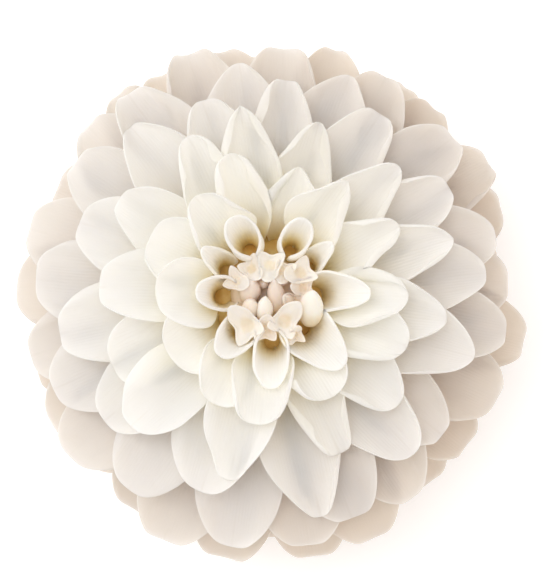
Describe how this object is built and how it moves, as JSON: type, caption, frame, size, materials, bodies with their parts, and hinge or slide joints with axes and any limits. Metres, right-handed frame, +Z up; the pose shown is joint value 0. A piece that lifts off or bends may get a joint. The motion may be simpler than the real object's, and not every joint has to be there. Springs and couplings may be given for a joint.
{
  "type": "dahlia flower",
  "caption": "Full white dahlia head with overlapping cupped petals round a cream centre of closed florets, green bracts and a short cut stalk behind, lying face up.",
  "frame": {"origin": "on the surface that the bloom lies on, under the bloom's own axis", "axes": "+Z up along the bloom's axis, out of its face; +X and +Y lie in the surface, and the flower is all but round about Z"},
  "size_m": [0.1113, 0.1139, 0.0494],
  "materials": {
    "petal": "soft matt white petal, warm cream in its depths",
    "centre": "soft cream with a blush, tawny between the florets",
    "green": "satin green bract and stalk"
  },
  "bodies": {
    "root": {"ray_florets": "petal", "centre_florets": "centre", "calyx_and_stalk": "green"}
  },
  "joints": []
}
